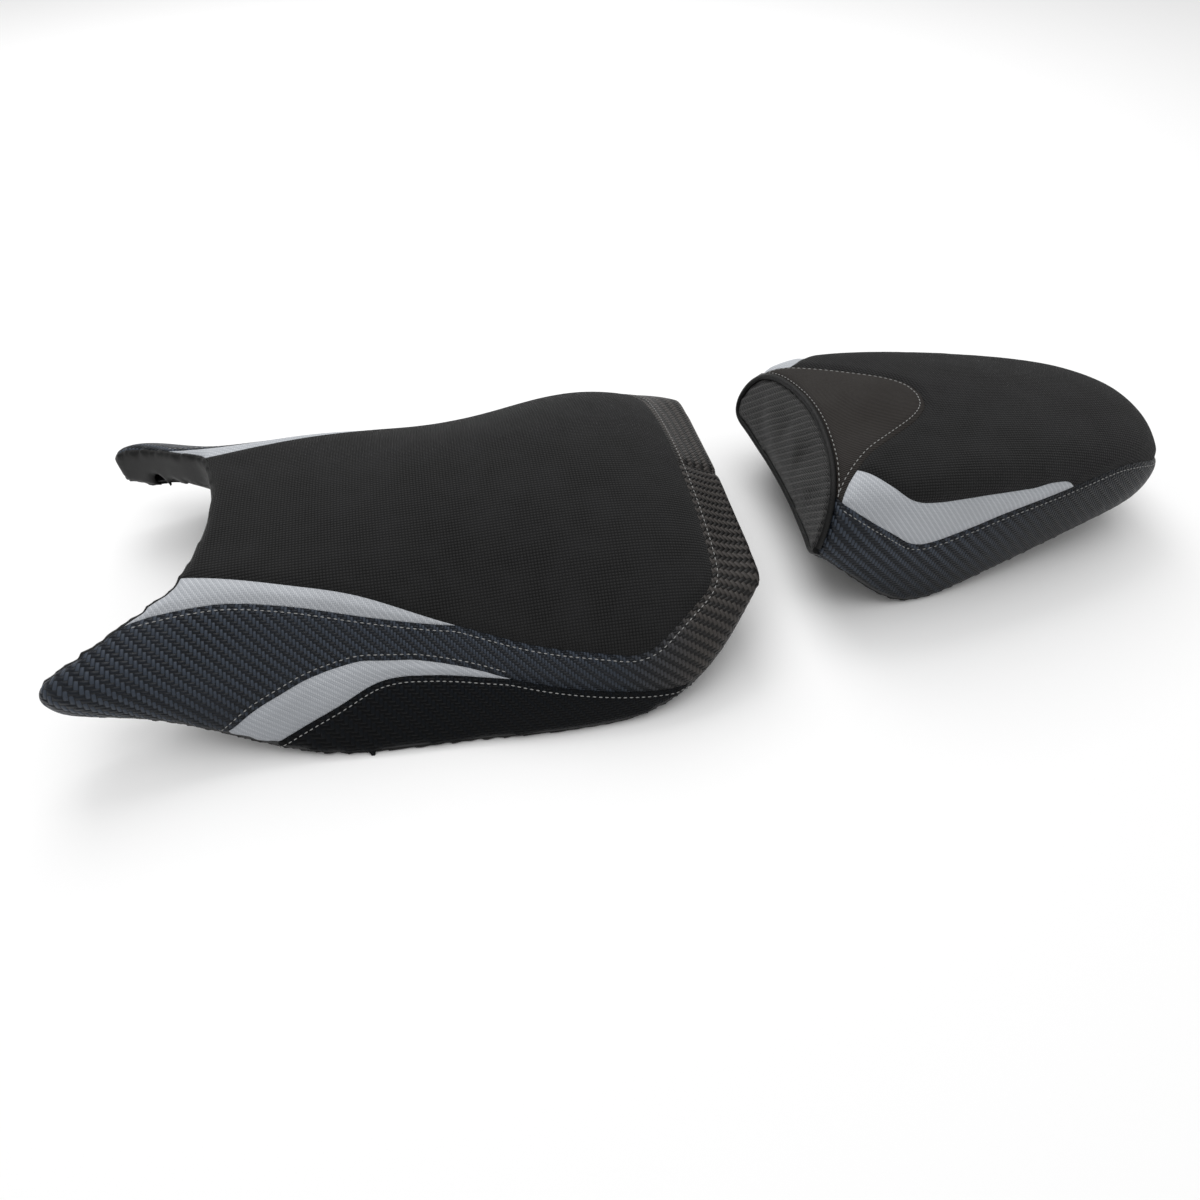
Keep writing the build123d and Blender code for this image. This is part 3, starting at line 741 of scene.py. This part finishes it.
def sew_edges(piece):
    """Sink the piece towards its edges and turn them in, as a sewn seam does."""
    block = bmesh.new()
    block.from_mesh(piece.data)
    for finished in (False, True):
        rim = [vert for vert in block.verts if vert.is_boundary]
        tree = KDTree(len(rim))
        for n, vert in enumerate(rim):
            tree.insert(vert.co, n)
        tree.balance()
        reach = {vert: tree.find(vert.co)[2] for vert in block.verts}
        close = [edge for edge in block.edges if edge.calc_length() > seam_mesh
                 and max(reach[vert] for vert in edge.verts) < seam_width]
        if not finished:
            bmesh.ops.subdivide_edges(block, edges=close, cuts=1, use_grid_fill=True)
    block.normal_update()
    sunk = {}
    for vert in block.verts:
        near = min(1.0, reach[vert] / seam_width)
        sunk[vert] = vert.normal * (seam_depth * (1 - near) ** 2 * (1 + near))
    normals = {}
    for n, vert in enumerate(rim):
        around = sum((other.normal for other in
                      [rim[m] for _, m, _ in tree.find_range(vert.co, seam_width * 0.75)]),
                     Vector())
        normals[vert] = around.normalized()
    for vert, move in sunk.items():
        vert.co -= move
    rim_edges = [edge for edge in block.edges if edge.is_boundary]
    turned = bmesh.ops.extrude_edge_only(block, edges=rim_edges)["geom"]
    fresh = [part for part in turned if isinstance(part, bmesh.types.BMVert)]
    for vert in fresh:
        n = tree.find(vert.co)[1]
        vert.co -= normals[rim[n]] * seam_turn
    for face in block.faces:
        face.smooth = True
        face.material_index = 0
    block.to_mesh(piece.data)
    block.free()


def panels_of(block, zone, unit):
    """One mesh object for each cut piece, and the name of each face's piece."""
    names = [zone(*face.calc_center_median()) for face in block.faces]
    made = {}
    for name in sorted({name for name in names if name}):
        part = block.copy()
        part.faces.ensure_lookup_table()
        others = [part.faces[n] for n, label in enumerate(names) if label != name]
        bmesh.ops.delete(part, geom=others, context="FACES")
        bmesh.ops.delete(part, geom=scraps(part, 0.03), context="FACES")
        bmesh.ops.dissolve_degenerate(part, edges=part.edges, dist=crumb)
        for face in part.faces:
            face.material_index = 0
        mesh = bpy.data.meshes.new(f"{unit}_{name}_sewn")
        part.to_mesh(mesh)
        part.free()
        piece = bpy.data.objects.new(mesh.name, mesh)
        bpy.context.scene.collection.objects.link(piece)
        turn_pattern(piece)
        sew_edges(piece)
        made[name] = piece
    return made, names


rider_skin = cut_skin(rider_cushion, rider_cutters)
rider_panels, rider_names = panels_of(rider_skin, rider_zone, "rider")
pillion_skin = cut_skin(pillion_cushion, pillion_cutters)
pillion_panels, pillion_names = panels_of(pillion_skin, pillion_zone, "pillion")


# ---- Cover materials ----
# The seat top is a ribbed, suede-like knit. The bands are embossed vinyls: a fine silver weave, a
# coarse slate twill, and a near-black twill low on the sides.

def pattern_axes(material, unit):
    """The piece's flat pattern as two sockets counted in units."""
    flat = node(material, "ShaderNodeUVMap")
    flat.uv_map = "pattern"
    axes = node(material, "ShaderNodeSeparateXYZ", Vector=flat.outputs["UV"])
    return [calc(material, "DIVIDE", axes.outputs[n], unit) for n in (0, 1)]


def twill(material, tow):
    """Two-by-two twill of flat tows: its height, and 1 where the warp lies on top."""
    u, v = pattern_axes(material, tow)
    step = calc(material, "ADD", calc(material, "FLOOR", u), calc(material, "FLOOR", v))
    step = calc(material, "FLOORED_MODULO", step, 4.0)
    across = [calc(material, "FRACT", axis) for axis in (u, v)]
    over = calc(material, "LESS_THAN", step, 1.5)
    heights = []
    for crown, run, start in ((across[0], across[1], 0.0), (across[1], across[0], 2.0)):
        arch = calc(material, "SINE", calc(material, "MULTIPLY", crown, math.pi))
        spot = calc(material, "SUBTRACT", calc(material, "ADD", step, run), start)
        dive = calc(material, "SINE", calc(material, "MULTIPLY", spot, math.pi / 2))
        dive = calc(material, "MAXIMUM", dive, 0.0)
        heights.append(calc(material, "MULTIPLY", calc(material, "POWER", arch, 0.6),
                            calc(material, "POWER", dive, 0.5)))
    warp = calc(material, "MULTIPLY", heights[0], over)
    weft = calc(material, "MULTIPLY", heights[1], calc(material, "SUBTRACT", 1.0, over))
    return calc(material, "ADD", warp, weft), over


def woven_vinyl(name, tow, weft, warp, gap, rough, relief, gloss, tinted_and_shaded_by_place=False):
    """Vinyl embossed with a twill: tones of its tows and of the gaps between them, the lighter warp
    tone a painted highlight, with painted shade towards the floor and, where asked, a browner tone
    at the rider unit's rear and painted shade at the pillion unit's rear.
    """
    material, shader = new_material(name, warp, rough)
    shader.inputs["Specular IOR Level"].default_value = gloss
    height, over = twill(material, tow)
    where = place(material)
    cloudy = noise(material, where, 22, 6.0)
    # Painted highlight: the warp tows get a lighter tone than the weft, standing in for the sheen
    # they catch.
    tone = blend_colours(material, over, weft, warp)
    tone = blend_colours(material, shift(material, height, 1, 0, 0.05, 0.5), tone, gap)
    worn = shift(material, cloudy, 0.0, 0.35, 0.4, 0.75)
    tone = blend_colours(material, worn, tone, tuple(c * 0.55 for c in warp))
    spot = node(material, "ShaderNodeSeparateXYZ", Vector=where).outputs
    # Painted shade: the tone darkens towards the floor, from 55 mm above it down to 12 mm.
    painted_floor_shade = shift(material, spot["Z"], 0.6, 0.0, 12 * MM, 55 * MM)
    tone = blend_colours(material, painted_floor_shade, tone, gap)
    # Where asked: a browner tone at the rider unit's rear, and painted shade at the pillion unit's
    # rear.
    if tinted_and_shaded_by_place:
        brown = blend_colours(material, over, (0.009, 0.008, 0.007), (0.052, 0.045, 0.039))
        seat_back = calc(material, "MULTIPLY",
                         shift(material, spot["X"], 0.85, 0.0, 0 * MM, 60 * MM),
                         shift(material, spot["X"], 0.0, 1.0, -80 * MM, -70 * MM))
        tone = blend_colours(material, seat_back, tone, brown)
        # Painted shade: darker towards the pillion unit's rear.
        tone = blend_colours(material, shift(material, spot["X"], 0.8, 0.0, -320 * MM, -200 * MM),
                             tone, gap)
    link(material, tone, shader.inputs["Base Color"])
    link(material, calc(material, "ADD", shift(material, over, rough, rough + 0.07),
                        shift(material, noise(material, where, 260), -0.05, 0.07)),
         shader.inputs["Roughness"])
    raise_by(material, shader, height, relief)
    raise_by(material, shader, noise(material, where, 2200), 0.00005)
    return material


silver_vinyl = woven_vinyl("silver_vinyl", 1.2 * MM, (0.40, 0.42, 0.45), (0.50, 0.52, 0.55),
                           (0.25, 0.265, 0.29), 0.4, 0.00015, 0.4)
# The slate twill is browner at the rider unit's rear and carries painted shade at the pillion
# unit's rear.
twill_vinyl = woven_vinyl("twill_vinyl", 2.5 * MM, (0.006, 0.008, 0.012), (0.040, 0.050, 0.068),
                          (0.002, 0.003, 0.004), 0.4, 0.0009, 0.2, tinted_and_shaded_by_place=True)
wall_vinyl = woven_vinyl("wall_vinyl", 1.9 * MM, (0.012, 0.012, 0.012), (0.048, 0.047, 0.046),
                         (0.003, 0.003, 0.003), 0.38, 0.0005, 0.35)
dark_vinyl = woven_vinyl("dark_vinyl", 2.5 * MM, (0.0015, 0.002, 0.003), (0.005, 0.007, 0.010),
                         (0.0008, 0.001, 0.0012), 0.4, 0.0006, 0.1)

top_fabric, shader = new_material("top_fabric", (0.030, 0.030, 0.031), 0.86)
shader.inputs["Sheen Weight"].default_value = 0.05
shader.inputs["Sheen Roughness"].default_value = 0.4
shader.inputs["Specular IOR Level"].default_value = 0.1
where = place(top_fabric)
rib_pitch = 2.3 * MM
ribs = [calc(top_fabric, "ABSOLUTE", calc(top_fabric, "SINE", calc(top_fabric, "MULTIPLY", axis,
                                                                  math.pi)))
        for axis in pattern_axes(top_fabric, rib_pitch)]
knit = calc(top_fabric, "MULTIPLY", *ribs)
nap = noise(top_fabric, where, 40, 8.0)
fibres = noise(top_fabric, where, 1800, 3.0)
tone = blend_colours(top_fabric, shift(top_fabric, knit, 0, 1, 0.0, 0.6), (0.003, 0.003, 0.003),
                     (0.021, 0.021, 0.021))
tone = blend_colours(top_fabric, shift(top_fabric, nap, 0, 0.5, 0.35, 0.75), tone,
                     (0.024, 0.024, 0.025))
tone = blend_colours(top_fabric, shift(top_fabric, fibres, 0, 0.35, 0.4, 0.7), tone,
                     (0.030, 0.030, 0.031))
link(top_fabric, tone, shader.inputs["Base Color"])
link(top_fabric, shift(top_fabric, fibres, 0.78, 0.94), shader.inputs["Roughness"])
raise_by(top_fabric, shader, knit, 0.0007)
raise_by(top_fabric, shader, fibres, 0.00025)

tongue_knit, shader = new_material("tongue_knit", (0.024, 0.021, 0.020), 0.74)
shader.inputs["Specular IOR Level"].default_value = 0.22
where = place(tongue_knit)
u, v = pattern_axes(tongue_knit, 1.6 * MM)
cord_row = calc(tongue_knit, "ABSOLUTE", calc(tongue_knit, "SINE", calc(
    tongue_knit, "MULTIPLY", v, math.pi)))
tone = blend_colours(tongue_knit, cord_row, (0.005, 0.004, 0.004), (0.027, 0.023, 0.020))
tone = blend_colours(tongue_knit, shift(tongue_knit, noise(tongue_knit, where, 30, 6.0), 0, 0.5,
                                        0.4, 0.75), tone, (0.030, 0.027, 0.025))
link(tongue_knit, tone, shader.inputs["Base Color"])
link(tongue_knit, shift(tongue_knit, noise(tongue_knit, where, 500), 0.62, 0.84),
     shader.inputs["Roughness"])
raise_by(tongue_knit, shader, cord_row, 0.0004)


def grained_vinyl(name, dark, light, rough):
    """Plain vinyl with a leather grain of shallow cells."""
    material, shader = new_material(name, dark, rough)
    where = place(material)
    shader.inputs["Specular IOR Level"].default_value = 0.2
    cells = node(material, "ShaderNodeTexVoronoi", Vector=where, Scale=620.0)
    cells.feature = "DISTANCE_TO_EDGE"
    height = shift(material, cells.outputs["Distance"], 0, 1, 0.0, 0.12)
    tone = blend_colours(material, height, dark, light)
    tone = blend_colours(material, shift(material, noise(material, where, 30, 5.0), 0, 0.5, 0.45,
                                         0.75), tone, tuple(2 * c for c in light))
    link(material, tone, shader.inputs["Base Color"])
    link(material, shift(material, noise(material, where, 300), rough - 0.06, rough + 0.1),
         shader.inputs["Roughness"])
    raise_by(material, shader, height, 0.00012)
    return material


black_vinyl = grained_vinyl("black_vinyl", (0.003, 0.003, 0.003), (0.007, 0.007, 0.007), 0.42)
hem_vinyl = grained_vinyl("hem_vinyl", (0.007, 0.007, 0.007), (0.016, 0.016, 0.016), 0.6)

panel_finish = {
    "rider": {"front_wall": ("black_vinyl", black_vinyl), "top_panel": ("top_fabric", top_fabric)},
    "pillion": {"front_wall": ("black_vinyl", wall_vinyl),
                "top_panel": ("top_fabric", top_fabric),
                "tongue_panel": ("twill_vinyl", tongue_knit)},
}
for side in ("left", "right"):
    panel_finish["rider"][f"silver_upper_{side}"] = ("silver_vinyl", silver_vinyl)
    panel_finish["rider"][f"silver_lower_{side}"] = ("silver_vinyl", silver_vinyl)
    panel_finish["rider"][f"carbon_band_{side}"] = ("twill_vinyl", twill_vinyl)
    panel_finish["rider"][f"lower_panel_{side}"] = ("dark_vinyl", dark_vinyl)
    panel_finish["pillion"][f"silver_{side}"] = ("silver_vinyl", silver_vinyl)
    panel_finish["pillion"][f"side_panel_{side}"] = ("twill_vinyl", twill_vinyl)
for unit, panels in (("rider", rider_panels), ("pillion", pillion_panels)):
    for name, (slot, material) in panel_finish[unit].items():
        piece = panels[name]
        piece.data.materials.clear()
        piece.data.materials.append(material)
        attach(piece, f"{unit}_seat")
        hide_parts(f"{unit}_{name}")


# ---- Hems ----
# The cover's raw edge, pulled round the pan's rim and stapled under it, puckered where it turns.

hem_voxel = 1.4 * MM
pucker = 0.35 * MM
for unit in ("rider", "pillion"):
    under = merged_copy([f"{unit}_hem"], f"{unit}_hem_sewn")
    remesh = under.modifiers.new("remesh", "REMESH")
    remesh.mode = "VOXEL"
    remesh.voxel_size = hem_voxel
    smooth = under.modifiers.new("smooth", "SMOOTH")
    smooth.iterations = 2
    apply_modifiers(under)
    block = bmesh.new()
    block.from_mesh(under.data)
    bmesh.ops.delete(block, geom=scraps(block), context="FACES")
    block.to_mesh(under.data)
    block.free()
    co = corners_of(under.data)
    wave = np.sin(co[:, 0] * 520 + np.sin(co[:, 1] * 90) * 2) * np.sin(co[:, 1] * 430 + 1.3)
    move_corners(under.data, co + normals_of(under.data) * (pucker * wave)[:, None])
    for face in under.data.polygons:
        face.use_smooth = True
        face.material_index = 0
    under.data.materials.clear()
    under.data.materials.append(hem_vinyl)
    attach(under, f"{unit}_seat")
    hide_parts(f"{unit}_hem")


# ---- Foam under the covers ----
# The blocks themselves: buff moulded foam, open celled, a little smaller than the cover.

foam, shader = new_material("foam", (0.62, 0.52, 0.30), 0.95)
where = place(foam)
cells = noise(foam, where, 900, 6.0)
link(foam, blend_colours(foam, cells, (0.48, 0.38, 0.20), (0.70, 0.60, 0.36)),
     shader.inputs["Base Color"])
raise_by(foam, shader, cells, 0.0006)
foam_ease = 1.8 * MM  # how far the block lies inside its fixed shape
for unit in ("rider", "pillion"):
    piece = merged_copy([f"{unit}_foam"], f"{unit}_foam_block")
    remesh = piece.modifiers.new("remesh", "REMESH")
    remesh.mode = "VOXEL"
    remesh.voxel_size = cushion_voxel
    smooth = piece.modifiers.new("smooth", "SMOOTH")
    smooth.iterations = 2
    apply_modifiers(piece)
    move_corners(piece.data, corners_of(piece.data) - normals_of(piece.data) * foam_ease)
    piece.data.materials.clear()
    piece.data.materials.append(foam)
    for face in piece.data.polygons:
        face.use_smooth = True
        face.material_index = 0
    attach(piece, f"{unit}_seat")
    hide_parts(f"{unit}_foam")
bpy.data.objects.remove(rider_cushion)
bpy.data.objects.remove(pillion_cushion)


# ---- Topstitching ----
# Bonded polyester thread, grey, one row 4 mm beside each visible seam, each stitch pulled
# into the vinyl at its ends.

stitch_aside = 4.2 * MM
stitch_length = 3.1 * MM
stitch_pitch = 4.5 * MM
thread_radius = 0.36 * MM


def seam_lines(block, names, ours, theirs):
    """Chains of (point, normal, way in) along the seams between two sets of pieces."""
    block.faces.ensure_lookup_table()
    links = {}
    way_in = {}
    for edge in block.edges:
        if len(edge.link_faces) != 2:
            continue
        own, other = edge.link_faces
        if names[own.index] in theirs and names[other.index] in ours:
            own, other = other, own
        if names[own.index] not in ours or names[other.index] not in theirs:
            continue
        a, b = edge.verts
        links.setdefault(a.index, []).append(b.index)
        links.setdefault(b.index, []).append(a.index)
        inward = own.calc_center_median() - other.calc_center_median()
        for vert in edge.verts:
            way_in[vert.index] = way_in.get(vert.index, Vector()) + inward
    block.verts.ensure_lookup_table()
    chains = []
    left = set(links)
    for start in sorted(links, key=lambda n: len(links[n])):
        if start not in left:
            continue
        walk = [start]
        left.discard(start)
        while True:
            ahead = [n for n in links[walk[-1]] if n in left]
            if not ahead:
                break
            walk.append(ahead[0])
            left.discard(ahead[0])
        if len(walk) > 12:
            chains.append([(block.verts[n].co.copy(), block.verts[n].normal.copy(),
                            way_in[n].normalized()) for n in walk])
    return chains


def even_line(chain, pitch, rounds=6):
    """Smoothed, evenly spaced copy of a chain."""
    rows = np.array([[*point, *normal, *way] for point, normal, way in chain])
    walked = np.concatenate(([0], np.cumsum(np.linalg.norm(np.diff(rows[:, :3], axis=0), axis=1))))
    fine = np.arange(0, walked[-1], 1.5 * MM)
    rows = np.column_stack([np.interp(fine, walked, rows[:, n]) for n in range(9)])
    for _ in range(rounds):
        rows[1:-1] = 0.5 * rows[1:-1] + 0.25 * (rows[:-2] + rows[2:])
    walked = np.concatenate(([0], np.cumsum(np.linalg.norm(np.diff(rows[:, :3], axis=0), axis=1))))
    spots = np.arange(pitch / 2, walked[-1], pitch)
    rows = np.column_stack([np.interp(spots, walked, rows[:, n]) for n in range(9)])
    return [(Vector(row[:3]), Vector(row[3:6]).normalized(), Vector(row[6:])) for row in rows]


thread, shader = new_material("thread", (0.50, 0.50, 0.49), 0.6)
where = place(thread)
link(thread, blend_colours(thread, noise(thread, where, 700), (0.17, 0.17, 0.17),
                           (0.34, 0.34, 0.33)), shader.inputs["Base Color"])
raise_by(thread, shader, noise(thread, where, 3000), 0.0001)


def stitch_rows(unit, block, names, rows):
    """Thread along the seams; rows give the stitched pieces and the pieces across the seam."""
    surface = BVHTree.FromBMesh(block)
    sewn = bmesh.new()
    for ours, theirs in rows:
        for chain in seam_lines(block, names, ours, theirs):
            line = even_line(chain, stitch_pitch)
            for (a, _, _), (point, normal, way) in zip(line, line[1:]):
                along = (point - a).normalized()
                side = normal.cross(along)
                if side.dot(way) < 0:
                    side = -side
                spot = surface.find_nearest(point + side * stitch_aside)
                up = spot[1]
                near = (spot[0] - point).length / seam_width
                sink = seam_depth * max(0.0, 1 - near) ** 2 * (1 + near)
                middle = spot[0] + up * (thread_radius * 0.35 - sink)
                along = (along - up * along.dot(up)).normalized()
                turn = Matrix((along, up.cross(along), up)).transposed().to_4x4()
                shape = Matrix.Diagonal((stitch_length / 2, thread_radius * 1.2, thread_radius, 1))
                bmesh.ops.create_uvsphere(sewn, u_segments=6, v_segments=5, radius=1.0,
                                          matrix=Matrix.Translation(middle) @ turn @ shape)
    for face in sewn.faces:
        face.smooth = True
    mesh = bpy.data.meshes.new(f"{unit}_topstitching")
    sewn.to_mesh(mesh)
    sewn.free()
    piece = bpy.data.objects.new(mesh.name, mesh)
    bpy.context.scene.collection.objects.link(piece)
    piece.data.materials.append(thread)
    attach(piece, f"{unit}_seat")


def both(*names):
    return {f"{name}_{side}" for name in names for side in ("left", "right")}


stitch_rows("rider", rider_skin, rider_names, [
    (both("carbon_band"), both("silver_upper") | {"top_panel"}),
    (both("carbon_band"), both("silver_lower")),
    (both("lower_panel"), both("silver_lower", "carbon_band")),
])
stitch_rows("pillion", pillion_skin, pillion_names, [
    ({"tongue_panel"}, both("silver") | {"top_panel"}),
    ({"tongue_panel"}, {"front_wall"}),
    (both("side_panel"), both("silver") | {"top_panel"}),
])


# ---- Pillion welt ----
# Black piping sewn into the seam round the front wall: a cord in a folded strip of vinyl.

welt_radius = 2.6 * MM
piping = bpy.data.curves.new("welt", "CURVE")
piping.dimensions = "3D"
piping.bevel_depth = welt_radius
piping.bevel_resolution = 4
piping.use_fill_caps = True
for chain in seam_lines(pillion_skin, pillion_names, {"front_wall"},
                        both("silver", "side_panel") | {"tongue_panel", "top_panel"}):
    line = even_line(chain, 6 * MM, 20)
    path = piping.splines.new("NURBS")
    path.points.add(len(line) - 1)
    for point, (spot, normal, _) in zip(path.points, line):
        point.co = (*(spot + normal * (welt_radius * 0.2)), 1)
    path.order_u = 4
    path.use_endpoint_u = True
shape = bpy.data.objects.new("welt", piping)
bpy.context.scene.collection.objects.link(shape)
bpy.context.evaluated_depsgraph_get().update()
welt = bpy.data.objects.new("pillion_welt_piping", bpy.data.meshes.new_from_object(
    shape.evaluated_get(bpy.context.evaluated_depsgraph_get())))
bpy.data.objects.remove(shape)
bpy.context.scene.collection.objects.link(welt)
welt.data.materials.clear()
welt.data.materials.append(black_vinyl)
for face in welt.data.polygons:
    face.use_smooth = True
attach(welt, "pillion_seat")
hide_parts("pillion_front_welt")
rider_skin.free()
pillion_skin.free()
